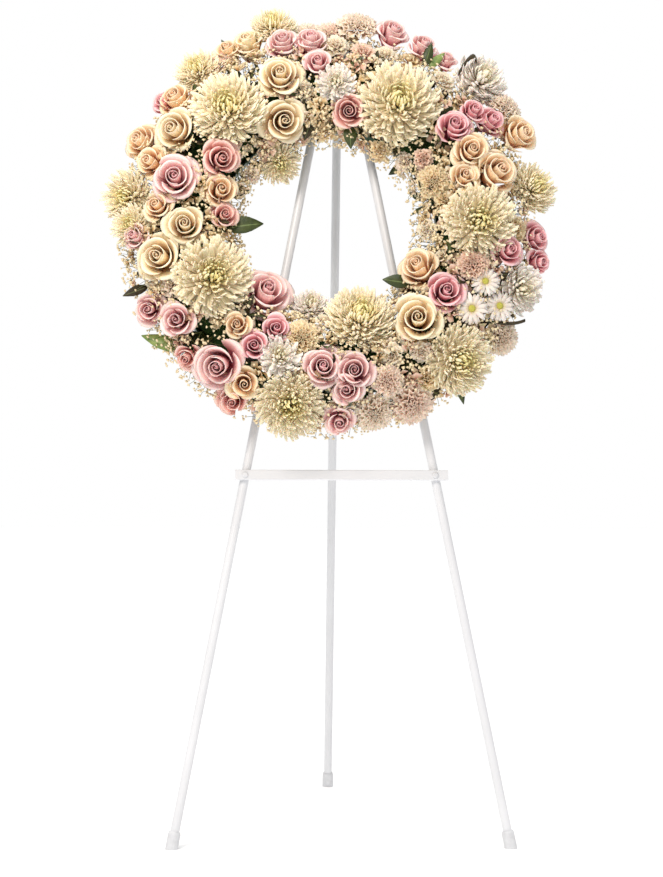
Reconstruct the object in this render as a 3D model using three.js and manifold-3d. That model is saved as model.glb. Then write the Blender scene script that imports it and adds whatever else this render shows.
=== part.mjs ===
// Funeral wreath of fresh flowers hung on a white three-legged easel.
// Millimetres, +Z up, the front faces -Y and the floor is z = 0.

import * as THREE from 'three';
import { mergeVertices } from 'three/addons/utils/BufferGeometryUtils.js';
import Module from 'manifold-3d';

const wasm = await Module();
wasm.setup();

// ---------------------------------------------------------------------------
// Driving dimensions
// ---------------------------------------------------------------------------

const GAP = 0.3; // clearance between pieces that touch

// Easel. The two front legs lie in one plane that leans back from the floor.
const LEAN = THREE.MathUtils.degToRad(10.5);
const FOOT_HALF_SPREAD = 236.5;
const TOP_HALF_SPREAD = 9.5;
const LEG_TOP = 1192; // up the leaning plane
const BACK_FOOT_Y = 563; // behind the line of the front feet
const TUBE_RADIUS = 6.35;
const TUBE_WALL = 1;
const TUBE_START = 7; // the tube stops this far above the floor, inside its cap
const ROUND = 16; // sides of a round piece

// Flattened upper end of a front leg
const TANG_LENGTH = 46;
const TANG_HALF_WIDTH = 7.6;
const TANG_THICKNESS = 3;
const SQUASH_LENGTH = 24; // over which the tube turns into the tang

// Foot caps
const CAP_RADIUS = 8.8;
const CAP_HEIGHT = 25;

// Crossbar
const BAR_LENGTH = 305;
const BAR_HEIGHT = 14.5;
const BAR_THICKNESS = 6;
const BAR_UP = 526; // centre line, up the leaning plane
const BAR_SHIFT = 2; // sideways

// Rivets
const RIVET_RADIUS = 2.5;
const RIVET_HEAD_RADIUS = 4.6;
const RIVET_HEAD_HEIGHT = 2.4;
const RIVET_SIDES = 10;
const LEG_RIVET_UP = 1163;

// Apex bracket: a plate behind the tangs, two ears for the back leg, a hook in front
const SHEET = 2;
const PLATE_HALF_WIDTH = 24;
const PLATE_BOTTOM = 1148;
const HOOK_HALF_WIDTH = 6;
const HOOK_FRONT = 13; // in front of the legs' centre lines
const HOOK_LIP = 9;
const EAR_BOTTOM = 1161;
const EAR_TOP = 1185;
const HINGE_UP = 1173;
const HINGE_BEHIND_PLATE = 10.5;
const LEG_ABOVE_HINGE = 10; // this end meets the plate when the back leg is open

// Wreath, on the front of the legs
const WREATH_X = -18;
const WREATH_UP = 880;
const CORE_RADIUS = 200; // middle of the ring's tube
const CORE_DEPTH = 28; // in front of the legs
const RING_SIDES = 32;

const TRAY_INNER = 160;
const TRAY_OUTER = 240;
const TRAY_DEPTH = 20;
const TRAY_WALL = 2;

const FOAM_HALF_WIDTH = 33.5;
const FOAM_TOP = 56;
const FOAM_SHOULDER = 36;

const WIRE_RADIUS = 1;
const WIRE_HALF_SPREAD = 20;
const WIRE_DEPTH = 12;

// Flower surface, an elliptical dome over the ring's tube
const DOME_RISE = 62;
const DOME_OUT = 96;
const DOME_IN = 74;
const EDGE_RISE = 10;
const FACING = 0.75; // share of the tube's angle that a bloom turns to
const STEM_END = 14; // from the middle of the ring's tube
const FORK = 0.78; // where a spray's branches part, as a share of the way out to its blooms
const STEM_RADIUS = 2.6;
const STEM_SIDES = 5;
const BRANCH_SIDES = 4;

// Baby's breath packed between the blooms, lower than their faces, down to the tray's rim
const BREATH_RISE = 40;
const BREATH_OUT = 92;
const BREATH_IN = 74;
const BREATH_BACK = 8; // in front of the legs

// Bloom forms: height in front of and behind the widest ring, as shares of the radius
const BLOOMS = {
  mum: { front: 0.72, back: 0.45, sides: 12, steps: 3 },
  carnation: { front: 0.6, back: 0.6, sides: 10, steps: 2 },
  rose: { front: 0.62, back: 0.85, sides: 10, steps: 2 },
};

const COLOURS = {
  steel: 0xeceef0,
  rubber: 0xf6f6f4,
  zinc: 0xd9dbdd,
  foam: 0x3f6b3a,
  tray: 0x24402a,
  wire: 0x6d706c,
  mum: 0xf2e8c4,
  white: 0xf4f0e4,
  pink: 0xe3a6ae,
  blush: 0xefc9c6,
  cream: 0xf2dcb8,
  peach: 0xecc7a0,
};

// Planting list. Places are from the ring's centre, across and up its face; then the size.
const PLANTING = [
  ['chrysanthemum_1', 'mum', 'mum', [[100, 175, 118]]],
  ['chrysanthemum_2', 'mum', 'white', [[225, 230, 82]]],
  ['chrysanthemum_3', 'mum', 'mum', [[300, 65, 76]]],
  ['chrysanthemum_4', 'mum', 'mum', [[215, 0, 102]]],
  ['chrysanthemum_5', 'mum', 'white', [[275, -90, 74]]],
  ['chrysanthemum_6', 'mum', 'mum', [[185, -200, 96]]],
  ['chrysanthemum_7', 'mum', 'mum', [[45, -140, 100]]],
  ['chrysanthemum_8', 'mum', 'mum', [[-55, -265, 94]]],
  ['chrysanthemum_9', 'mum', 'mum', [[-165, -85, 110]]],
  ['chrysanthemum_10', 'mum', 'mum', [[-290, 45, 80]]],
  ['chrysanthemum_11', 'mum', 'mum', [[-190, 240, 72]]],
  ['chrysanthemum_12', 'mum', 'mum', [[-145, 165, 106]]],
  ['chrysanthemum_13', 'mum', 'mum', [[-80, 310, 70]]],
  ['carnation_1', 'carnation', 'white', [[45, 315, 60]]],
  ['carnation_2', 'carnation', 'white', [[65, -275, 54]]],
  ['carnation_3', 'carnation', 'blush', [[120, -260, 62]]],
  ['pink_rose_1', 'rose', 'pink', [[30, 165, 52]]],
  ['pink_rose_2', 'rose', 'pink', [[180, 140, 54]]],
  ['pink_rose_3', 'rose', 'pink', [[165, -105, 58]]],
  ['pink_rose_4', 'rose', 'pink', [[-90, -100, 72]]],
  ['pink_rose_5', 'rose', 'pink', [[-155, -210, 72]]],
  ['pink_rose_6', 'rose', 'pink', [[-220, 60, 68]]],
  ['pink_rose_7', 'rose', 'pink', [[-155, 90, 58]]],
  ['cream_rose_1', 'rose', 'peach', [[280, 145, 60]]],
  ['cream_rose_2', 'rose', 'peach', [[240, 75, 66]]],
  ['cream_rose_3', 'rose', 'peach', [[130, -65, 62]]],
  ['cream_rose_4', 'rose', 'cream', [[125, -145, 70]]],
  ['cream_rose_5', 'rose', 'cream', [[-240, -55, 68]]],
  ['cream_rose_6', 'rose', 'cream', [[-205, -10, 58]]],
  ['cream_rose_7', 'rose', 'cream', [[-220, 135, 62]]],
  ['cream_rose_8', 'rose', 'cream', [[-65, 150, 66]]],
  ['cream_rose_9', 'rose', 'cream', [[-70, 215, 62]]],
  ['cream_rose_10', 'rose', 'cream', [[-115, 280, 58]]],
  ['pink_spray_1', 'rose', 'pink', [[95, 300, 52], [140, 280, 48], [175, 260, 34]]],
  ['pink_spray_2', 'rose', 'pink', [[210, 170, 40], [235, 160, 48]]],
  ['pink_spray_3', 'rose', 'pink', [[300, -10, 48], [255, -40, 48], [305, -45, 38]]],
  ['pink_spray_4', 'rose', 'pink', [[35, -220, 56], [-10, -215, 56], [25, -245, 48]]],
  ['pink_spray_5', 'rose', 'pink', [[-75, -160, 42], [-105, -185, 46]]],
  ['pink_spray_6', 'rose', 'pink', [[-215, -145, 50], [-255, -125, 46]]],
  ['pink_spray_7', 'rose', 'pink', [[-65, 275, 52], [-25, 275, 52], [-15, 235, 46]]],
  ['peach_spray_1', 'rose', 'peach', [[205, 105, 54], [195, 65, 46]]],
  ['peach_spray_2', 'rose', 'peach', [[-130, -155, 40], [-120, -235, 48]]],
  ['peach_spray_3', 'rose', 'peach', [[-270, 130, 54], [-220, 190, 58], [-255, 90, 46]]],
];

// ---------------------------------------------------------------------------
// Solids
// ---------------------------------------------------------------------------

function solidOf(geometry) {
  const shell = geometry.index ? geometry.clone() : geometry;
  shell.deleteAttribute('normal');
  shell.deleteAttribute('uv');
  const merged = mergeVertices(shell, 1e-4);
  const source = merged.index.array;
  const corners = [];
  for (let i = 0; i < source.length; i += 3) {
    const [a, b, c] = [source[i], source[i + 1], source[i + 2]];
    if (a !== b && b !== c && c !== a) corners.push(a, b, c);
  }
  return new wasm.Manifold(new wasm.Mesh({
    numProp: 3,
    vertProperties: new Float32Array(merged.attributes.position.array),
    triVerts: new Uint32Array(corners),
  }));
}

function joined(solids) {
  return solids.reduce((whole, piece) => whole.add(piece));
}

function cut(solid, tools) {
  return tools.reduce((rest, tool) => rest.subtract(tool), solid);
}

function meshOf(name, solid, colour, roughness, metalness = 0) {
  const { vertProperties, triVerts } = solid.getMesh();
  const geometry = new THREE.BufferGeometry();
  geometry.setAttribute('position', new THREE.BufferAttribute(vertProperties, 3));
  geometry.setIndex(new THREE.BufferAttribute(triVerts, 1));
  geometry.computeVertexNormals();
  const material = new THREE.MeshStandardMaterial({ color: COLOURS[colour], roughness, metalness });
  const mesh = new THREE.Mesh(geometry, material);
  mesh.name = name;
  return mesh;
}

// A solid of revolution about Y from [radius, height] points
function turned(points, sides = ROUND) {
  return new THREE.LatheGeometry(points.map(([r, h]) => new THREE.Vector2(r, h)), sides);
}

function box(x0, x1, y0, y1, z0, z1) {
  const geometry = new THREE.BoxGeometry(x1 - x0, y1 - y0, z1 - z0);
  return geometry.translate((x0 + x1) / 2, (y0 + y1) / 2, (z0 + z1) / 2);
}

// A rod between two points
function rod(from, to, radius, sides) {
  const run = new THREE.Vector3().subVectors(to, from);
  const geometry = new THREE.CylinderGeometry(radius, radius, run.length(), sides);
  const turn = new THREE.Quaternion().setFromUnitVectors(new THREE.Vector3(0, 1, 0), run.clone().normalize());
  const middle = new THREE.Vector3().addVectors(from, to).multiplyScalar(0.5);
  return geometry.applyMatrix4(new THREE.Matrix4().compose(middle, turn, new THREE.Vector3(1, 1, 1)));
}

// ---------------------------------------------------------------------------
// Easel
// ---------------------------------------------------------------------------

const LEG_SPLAY = Math.atan((FOOT_HALF_SPREAD - TOP_HALF_SPREAD) / LEG_TOP);
const FRONT_LEG_LENGTH = Math.hypot(FOOT_HALF_SPREAD - TOP_HALF_SPREAD, LEG_TOP);
const PLATE_BACK = -TUBE_RADIUS - GAP - SHEET;
const HINGE_Z = PLATE_BACK - HINGE_BEHIND_PLATE;

function halfSpreadAt(up) {
  return FOOT_HALF_SPREAD - up * Math.tan(LEG_SPLAY);
}

// The leaning plane's group: X across, Y up the slope, Z out to the front
function leaningPlane() {
  const plane = new THREE.Group();
  plane.rotation.x = Math.PI / 2 - LEAN;
  return plane;
}

// A front leg's place in the leaning plane; side is -1 at the left, 1 at the right
function placeOnLeg(object, side) {
  object.position.x = side * FOOT_HALF_SPREAD;
  object.rotation.z = side * LEG_SPLAY;
  return object;
}

// Rivet along Z through everything between the two faces
function rivetShape(back, front) {
  const shank = RIVET_RADIUS;
  const head = RIVET_HEAD_RADIUS;
  const rise = RIVET_HEAD_HEIGHT;
  const profile = [
    [0, back - GAP - rise], [head * 0.6, back - GAP - rise], [head, back - GAP - rise * 0.4],
    [head, back - GAP], [shank, back - GAP], [shank, front + GAP], [head, front + GAP],
    [head, front + GAP + rise * 0.4], [head * 0.6, front + GAP + rise], [0, front + GAP + rise],
  ];
  return turned(profile, RIVET_SIDES).rotateX(Math.PI / 2);
}

function rivetHole(x, y) {
  const radius = RIVET_RADIUS + GAP;
  return solidOf(new THREE.CylinderGeometry(radius, radius, 80, RIVET_SIDES).rotateX(Math.PI / 2).translate(x, y, 0));
}

// How flat the tube is at a height along the leg: 0 round, 1 the full tang
function squashAt(height) {
  const start = FRONT_LEG_LENGTH - TANG_LENGTH - SQUASH_LENGTH;
  return THREE.MathUtils.smoothstep(height, start, start + SQUASH_LENGTH);
}

function squashTube(geometry) {
  const place = geometry.attributes.position;
  for (let i = 0; i < place.count; i += 1) {
    const share = squashAt(place.getY(i));
    const across = place.getX(i) / TUBE_RADIUS;
    const through = place.getZ(i) / TUBE_RADIUS;
    const halfThick = TANG_THICKNESS / 2;
    const flatZ = THREE.MathUtils.clamp(through * 2, -1, 1) * halfThick - TUBE_RADIUS + halfThick;
    place.setX(i, across * THREE.MathUtils.lerp(TUBE_RADIUS, TANG_HALF_WIDTH, share));
    place.setZ(i, THREE.MathUtils.lerp(place.getZ(i), flatZ, share));
  }
  return geometry;
}

function frontLeg() {
  const bore = TUBE_RADIUS - TUBE_WALL;
  const squashStart = FRONT_LEG_LENGTH - TANG_LENGTH - SQUASH_LENGTH;
  const profile = [[0, squashStart - 6], [bore, squashStart - 6], [bore, TUBE_START], [TUBE_RADIUS, TUBE_START]];
  for (let step = 0; step <= 4; step += 1) {
    profile.push([TUBE_RADIUS, squashStart + (SQUASH_LENGTH * step) / 4]);
  }
  profile.push([TUBE_RADIUS, FRONT_LEG_LENGTH - 4], [TUBE_RADIUS * 0.7, FRONT_LEG_LENGTH], [0, FRONT_LEG_LENGTH]);
  const alongBar = BAR_UP / Math.cos(LEG_SPLAY);
  const alongTop = LEG_RIVET_UP / Math.cos(LEG_SPLAY);
  const leg = solidOf(squashTube(turned(profile)));
  return cut(leg, [rivetHole(0, alongBar), rivetHole(0, alongTop)]);
}

// Ferrule over a tube's end, its underside cut level with the floor
function footCap(floorNormal) {
  const bore = TUBE_RADIUS + GAP;
  const profile = [
    [0, -6], [CAP_RADIUS, -6], [CAP_RADIUS, CAP_HEIGHT - 4], [CAP_RADIUS - 1, CAP_HEIGHT],
    [bore, CAP_HEIGHT], [bore, TUBE_START - GAP], [0, TUBE_START - GAP],
  ];
  return solidOf(turned(profile)).trimByPlane(floorNormal, 0);
}

function crossbar() {
  const bevel = 1;
  const half = BAR_HEIGHT / 2;
  const outline = new THREE.Shape([
    new THREE.Vector2(-half, bevel), new THREE.Vector2(-half + bevel, 0),
    new THREE.Vector2(half - bevel, 0), new THREE.Vector2(half, bevel),
    new THREE.Vector2(half, BAR_THICKNESS - bevel), new THREE.Vector2(half - bevel, BAR_THICKNESS),
    new THREE.Vector2(-half + bevel, BAR_THICKNESS), new THREE.Vector2(-half, BAR_THICKNESS - bevel),
  ]);
  const bar = new THREE.ExtrudeGeometry(outline, { depth: BAR_LENGTH, bevelEnabled: false });
  const [x, y, z] = [new THREE.Vector3(1, 0, 0), new THREE.Vector3(0, 1, 0), new THREE.Vector3(0, 0, 1)];
  bar.applyMatrix4(new THREE.Matrix4().makeBasis(y, z, x));
  bar.translate(BAR_SHIFT - BAR_LENGTH / 2, BAR_UP, TUBE_RADIUS + GAP);
  const crossing = halfSpreadAt(BAR_UP);
  return cut(solidOf(bar), [rivetHole(-crossing, BAR_UP), rivetHole(crossing, BAR_UP)]);
}

const EAR_INSIDE = TUBE_RADIUS + 2 * GAP;
const EAR_RADIUS = 8;

function ear(side) {
  const [inner, outer] = [side * EAR_INSIDE, side * (EAR_INSIDE + SHEET)];
  const [x0, x1] = [Math.min(inner, outer), Math.max(inner, outer)];
  const web = box(x0, x1, HINGE_UP - EAR_RADIUS, HINGE_UP + EAR_RADIUS, HINGE_Z, PLATE_BACK + SHEET / 2);
  const end = new THREE.CylinderGeometry(EAR_RADIUS, EAR_RADIUS, SHEET, ROUND).rotateZ(Math.PI / 2);
  end.translate((x0 + x1) / 2, HINGE_UP, HINGE_Z);
  return solidOf(web).add(solidOf(end));
}

function hingeHole() {
  const radius = RIVET_RADIUS + GAP;
  return solidOf(new THREE.CylinderGeometry(radius, radius, 60, RIVET_SIDES).rotateZ(Math.PI / 2));
}

function apexBracket() {
  const plateFront = PLATE_BACK + SHEET;
  const tabTop = LEG_TOP + GAP + SHEET;
  const plate = box(-PLATE_HALF_WIDTH, PLATE_HALF_WIDTH, PLATE_BOTTOM, tabTop, PLATE_BACK, plateFront);
  const tab = box(-HOOK_HALF_WIDTH, HOOK_HALF_WIDTH, tabTop - SHEET, tabTop, PLATE_BACK, HOOK_FRONT);
  const lip = box(
    -HOOK_HALF_WIDTH, HOOK_HALF_WIDTH, tabTop - SHEET, tabTop + HOOK_LIP, HOOK_FRONT - SHEET, HOOK_FRONT,
  );
  const body = joined([solidOf(plate), solidOf(tab), solidOf(lip), ear(-1), ear(1)]);
  const spread = halfSpreadAt(LEG_RIVET_UP);
  const hinge = hingeHole().translate([0, HINGE_UP, HINGE_Z]);
  return cut(body, [rivetHole(-spread, LEG_RIVET_UP), rivetHole(spread, LEG_RIVET_UP), hinge]);
}

function backLeg(hingeHeight) {
  const bore = TUBE_RADIUS - TUBE_WALL;
  const top = hingeHeight + LEG_ABOVE_HINGE;
  const profile = [
    [bore, TUBE_START], [TUBE_RADIUS, TUBE_START], [TUBE_RADIUS, top], [bore, top], [bore, TUBE_START],
  ];
  return cut(solidOf(turned(profile)), [hingeHole().translate([0, hingeHeight, 0])]);
}

// The floor's normal in a placed group's own axes
function floorNormalIn(group) {
  group.updateWorldMatrix(true, false);
  const normal = new THREE.Vector3(0, 0, 1).transformDirection(group.matrixWorld.clone().invert());
  return normal.toArray();
}

function addFrontLeg(plane, side, name) {
  const place = placeOnLeg(new THREE.Group(), side);
  plane.add(place);
  place.add(meshOf(`front_leg_${name}`, frontLeg(), 'steel', 0.45));
  place.add(meshOf(`foot_cap_${name}`, footCap(floorNormalIn(place)), 'rubber', 0.6));
  const legRivet = rivetShape(PLATE_BACK, TANG_THICKNESS - TUBE_RADIUS);
  legRivet.translate(side * halfSpreadAt(LEG_RIVET_UP), LEG_RIVET_UP, 0);
  plane.add(meshOf(`leg_rivet_${name}`, solidOf(legRivet), 'zinc', 0.4, 0.6));
  const barRivet = rivetShape(-TUBE_RADIUS, TUBE_RADIUS + GAP + BAR_THICKNESS);
  barRivet.translate(side * halfSpreadAt(BAR_UP), BAR_UP, 0);
  plane.add(meshOf(`crossbar_rivet_${name}`, solidOf(barRivet), 'zinc', 0.4, 0.6));
}

function addBackLeg(root, plane) {
  const hinge = new THREE.Vector3(0, HINGE_UP, HINGE_Z).applyEuler(plane.rotation);
  const place = new THREE.Group();
  place.position.y = BACK_FOOT_Y;
  place.rotation.x = Math.atan2(hinge.z, hinge.y - BACK_FOOT_Y);
  root.add(place);
  const hingeHeight = Math.hypot(hinge.z, hinge.y - BACK_FOOT_Y);
  place.add(meshOf('back_leg', backLeg(hingeHeight), 'steel', 0.45));
  place.add(meshOf('foot_cap_back', footCap(floorNormalIn(place)), 'rubber', 0.6));
  const earFace = EAR_INSIDE + SHEET;
  const pin = rivetShape(-earFace, earFace).rotateY(Math.PI / 2).translate(0, HINGE_UP, HINGE_Z);
  plane.add(meshOf('hinge_pin', solidOf(pin), 'zinc', 0.4, 0.6));
}

// ---------------------------------------------------------------------------
// Wreath base: foam ring in its tray, and the wire that hangs it
// ---------------------------------------------------------------------------

function ringAlongZ(profile) {
  return solidOf(turned([...profile, profile[0]], RING_SIDES).rotateX(Math.PI / 2));
}

function foamRing() {
  const bottom = TRAY_WALL + GAP;
  const profile = [[CORE_RADIUS - FOAM_HALF_WIDTH, bottom], [CORE_RADIUS + FOAM_HALF_WIDTH, bottom]];
  const steps = 5;
  for (let step = 0; step <= steps; step += 1) {
    const angle = (Math.PI * step) / steps;
    const height = FOAM_SHOULDER + (FOAM_TOP - FOAM_SHOULDER) * Math.sin(angle);
    profile.push([CORE_RADIUS + FOAM_HALF_WIDTH * Math.cos(angle), height]);
  }
  return ringAlongZ(profile);
}

function ringTray() {
  const [inner, outer] = [TRAY_INNER + TRAY_WALL, TRAY_OUTER - TRAY_WALL];
  const tray = ringAlongZ([
    [TRAY_INNER, 0], [TRAY_OUTER, 0], [TRAY_OUTER, TRAY_DEPTH], [outer, TRAY_DEPTH],
    [outer, TRAY_WALL], [inner, TRAY_WALL], [inner, TRAY_DEPTH], [TRAY_INNER, TRAY_DEPTH],
  ]);
  const holes = [-1, 1].map((side) => {
    const x = side * WIRE_HALF_SPREAD - WREATH_X;
    const from = new THREE.Vector3(x, TRAY_OUTER - 12, WIRE_DEPTH);
    const to = new THREE.Vector3(x, TRAY_OUTER + 8, WIRE_DEPTH);
    return solidOf(rod(from, to, WIRE_RADIUS + 4 * GAP, 8));
  });
  return cut(tray, holes);
}

// Wire bail: its two ends turn inside the tray's rim, its top lies on the bracket's hook
function hangerWire() {
  const inside = TRAY_OUTER - TRAY_WALL - 2.7;
  const seat = LEG_TOP + 2 * GAP + SHEET + WIRE_RADIUS - WREATH_UP;
  const turnIn = [[12, 0], [17, 0], [19.4, 0.9], [20, 3], [20, 9]];
  const rise = [
    [19.4, 260, 11], [17.5, 278, 8], [15.5, 292, 4.5], [13.4, 303, 2.4],
    [10.6, seat - 3, 1.5], [7.4, seat, 1.2], [3, seat + 0.4, 1.2],
  ];
  const side = (sign) => {
    const ends = turnIn.map(([x, lift]) => {
      const across = sign * x - WREATH_X;
      return new THREE.Vector3(across, Math.sqrt(inside ** 2 - across ** 2) + lift, WIRE_DEPTH);
    });
    return [...ends, ...rise.map(([x, y, z]) => new THREE.Vector3(sign * x - WREATH_X, y, z))];
  };
  const route = [...side(1), ...side(-1).reverse()];
  const section = new THREE.Shape();
  section.absarc(0, 0, WIRE_RADIUS, 0, 2 * Math.PI);
  return solidOf(new THREE.ExtrudeGeometry(section, {
    extrudePath: new THREE.CatmullRomCurve3(route, false, 'centripetal'), steps: 44, curveSegments: 3,
  }));
}

// ---------------------------------------------------------------------------
// Flowers. A bloom stands on the dome over the ring's tube, its stem in the foam.
// ---------------------------------------------------------------------------

// Where a place on the wreath's face lies on the dome, and the tube's middle below it
function onDome(x, y) {
  const reach = Math.hypot(x, y);
  const outward = new THREE.Vector3(x / reach, y / reach, 0);
  const offset = reach - CORE_RADIUS;
  const span = offset > 0 ? DOME_OUT : DOME_IN;
  const rise = Math.max(DOME_RISE * Math.sqrt(Math.max(0, 1 - (offset / span) ** 2)), EDGE_RISE);
  const core = outward.clone().multiplyScalar(CORE_RADIUS).setZ(CORE_DEPTH);
  const centre = new THREE.Vector3(x, y, CORE_DEPTH + rise);
  const turn = Math.atan2(offset, rise) * FACING;
  const aim = outward.multiplyScalar(Math.sin(turn)).setZ(Math.cos(turn));
  return { core, centre, aim };
}

// A point on the line from the tube's middle towards a place on the dome
function towards({ core, centre }, distance) {
  const run = new THREE.Vector3().subVectors(centre, core).setLength(distance);
  return run.add(core);
}

function bloomSolid(kind, radius, place) {
  const { front, back, sides, steps } = BLOOMS[kind];
  const profile = [];
  for (let step = -steps; step <= steps; step += 1) {
    const angle = (Math.PI / 2) * (step / steps);
    const height = (step < 0 ? back : front) * Math.sin(angle);
    profile.push([radius * Math.cos(angle), radius * height]);
  }
  profile[0][0] = 0;
  profile[2 * steps][0] = 0;
  const turn = new THREE.Quaternion().setFromUnitVectors(new THREE.Vector3(0, 1, 0), place.aim);
  const pose = new THREE.Matrix4().compose(place.centre, turn, new THREE.Vector3(1, 1, 1));
  return solidOf(turned(profile, sides).applyMatrix4(pose));
}

// Neighbouring blooms press on each other: both are cut flat where their round forms meet
function pressFlat(bloom, others) {
  let solid = bloom.solid;
  for (const other of others) {
    const run = new THREE.Vector3().subVectors(other.place.centre, bloom.place.centre);
    const distance = run.length();
    if (other.plant === bloom.plant || distance > other.radius + bloom.radius) continue;
    const share = (distance ** 2 + bloom.radius ** 2 - other.radius ** 2) / (2 * distance);
    const normal = run.normalize().negate();
    const offset = normal.dot(bloom.place.centre) - share + GAP / 2;
    solid = solid.trimByPlane(normal.toArray(), offset);
  }
  return solid.trimByPlane([0, 0, 1], GAP);
}

// One stem into the foam; a spray's branches part from it at a fork
function stemSolids(blooms, swell) {
  const radius = STEM_RADIUS + swell;
  const places = blooms.map((bloom) => bloom.place);
  if (places.length === 1) {
    return [solidOf(rod(places[0].centre, towards(places[0], STEM_END - swell), radius, STEM_SIDES))];
  }
  const x = places.reduce((sum, place) => sum + place.centre.x, 0) / places.length;
  const y = places.reduce((sum, place) => sum + place.centre.y, 0) / places.length;
  const middle = onDome(x, y);
  const fork = towards(middle, FORK * middle.centre.distanceTo(middle.core));
  const branches = places.map((place) => solidOf(rod(fork, place.centre, radius * 0.8, BRANCH_SIDES)));
  const stem = solidOf(rod(fork, towards(middle, STEM_END - swell), radius, STEM_SIDES));
  return [stem, ...branches];
}

// Soft ring of filler flowers over the foam, or the surface that far outside it
function breathRing(swell) {
  const [trayIn, trayOut] = [TRAY_INNER - 2 * GAP, TRAY_OUTER + 2 * GAP];
  const foamClear = 1;
  const [foamIn, foamOut] = [-1, 1].map((side) => CORE_RADIUS + side * (FOAM_HALF_WIDTH + foamClear));
  const rim = TRAY_DEPTH + 2 * GAP;
  const tuck = 6;
  const back = BREATH_BACK - swell;
  const profile = [[trayOut, back], [CORE_RADIUS + BREATH_OUT - tuck + swell, back]];
  const steps = 5;
  for (let step = 0; step <= steps; step += 1) {
    const angle = (Math.PI * step) / steps;
    const span = (Math.cos(angle) > 0 ? BREATH_OUT : BREATH_IN) + swell;
    const rise = CORE_DEPTH + (BREATH_RISE + swell) * Math.sin(angle);
    profile.push([CORE_RADIUS + span * Math.cos(angle), rise]);
  }
  profile.push([CORE_RADIUS - BREATH_IN + tuck - swell, back], [trayIn, back], [trayIn, rim]);
  profile.push([foamIn, rim], [foamIn, FOAM_TOP - 8], [CORE_RADIUS - 15, FOAM_TOP + foamClear]);
  profile.push([CORE_RADIUS + 15, FOAM_TOP + foamClear], [foamOut, FOAM_TOP - 8], [foamOut, rim], [trayOut, rim]);
  return ringAlongZ(profile);
}

function babysBreath(channels) {
  const [wireLeft, wireRight] = [-1, 1].map((side) => side * (WIRE_HALF_SPREAD + 4) - WREATH_X);
  const wire = solidOf(box(wireLeft, wireRight, TRAY_OUTER - 8, TRAY_OUTER + 100, 0, WIRE_DEPTH + 3));
  const pieces = cut(breathRing(0), [...channels, wire]).decompose();
  return pieces.reduce((largest, piece) => (piece.volume() > largest.volume() ? piece : largest));
}

function plantAll() {
  const plants = PLANTING.map(([name, kind, colour, heads]) => {
    const plant = { name, colour };
    plant.blooms = heads.map(([x, y, size]) => {
      const place = onDome(x, y);
      return { plant, place, radius: size / 2, solid: bloomSolid(kind, size / 2, place) };
    });
    plant.channel = joined(stemSolids(plant.blooms, GAP));
    return plant;
  });
  const blooms = plants.flatMap((plant) => plant.blooms);
  const filler = breathRing(GAP);
  for (const plant of plants) {
    const heads = joined(plant.blooms.map((bloom) => pressFlat(bloom, blooms))).subtract(filler);
    const channels = plants.filter((other) => other !== plant).map((other) => other.channel);
    plant.solid = cut(heads, channels).add(joined(stemSolids(plant.blooms, 0)));
  }
  return plants;
}

function addWreath(plane) {
  const wreath = new THREE.Group();
  wreath.position.set(WREATH_X, WREATH_UP, TUBE_RADIUS + GAP);
  plane.add(wreath);
  const plants = plantAll();
  const channels = plants.map((plant) => plant.channel);
  wreath.add(meshOf('foam_ring', cut(foamRing(), channels), 'foam', 0.95));
  wreath.add(meshOf('babys_breath', babysBreath(channels), 'white', 0.9));
  wreath.add(meshOf('ring_tray', ringTray(), 'tray', 0.5));
  wreath.add(meshOf('hanger_wire', hangerWire(), 'wire', 0.4, 0.8));
  for (const plant of plants) {
    wreath.add(meshOf(plant.name, plant.solid, plant.colour, 0.8));
  }
}

// ---------------------------------------------------------------------------
// Assembly, then set on the floor with the box's bottom middle at the origin
// ---------------------------------------------------------------------------

const stand = new THREE.Group();
const plane = leaningPlane();
stand.add(plane);
addFrontLeg(plane, -1, 'left');
addFrontLeg(plane, 1, 'right');
plane.add(meshOf('crossbar', crossbar(), 'steel', 0.45));
plane.add(meshOf('apex_bracket', apexBracket(), 'steel', 0.45));
addBackLeg(stand, plane);
addWreath(plane);

const bounds = new THREE.Box3().setFromObject(stand, true);
stand.position.set(-(bounds.min.x + bounds.max.x) / 2, -(bounds.min.y + bounds.max.y) / 2, -bounds.min.z);
const wreathOnEasel = new THREE.Group();
wreathOnEasel.add(stand);

export default wreathOnEasel;
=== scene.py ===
"""A funeral wreath of roses, chrysanthemums and baby's breath, hung on a white three-legged easel.

The ring's face has its own axes: x to the right, y up the leaning face and depth out of it, all in
millimetres from the ring's centre. Every flower is given by its place on that face and its width.
"""

import math

import bpy
import numpy as np
from mathutils import Matrix, Vector


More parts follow.
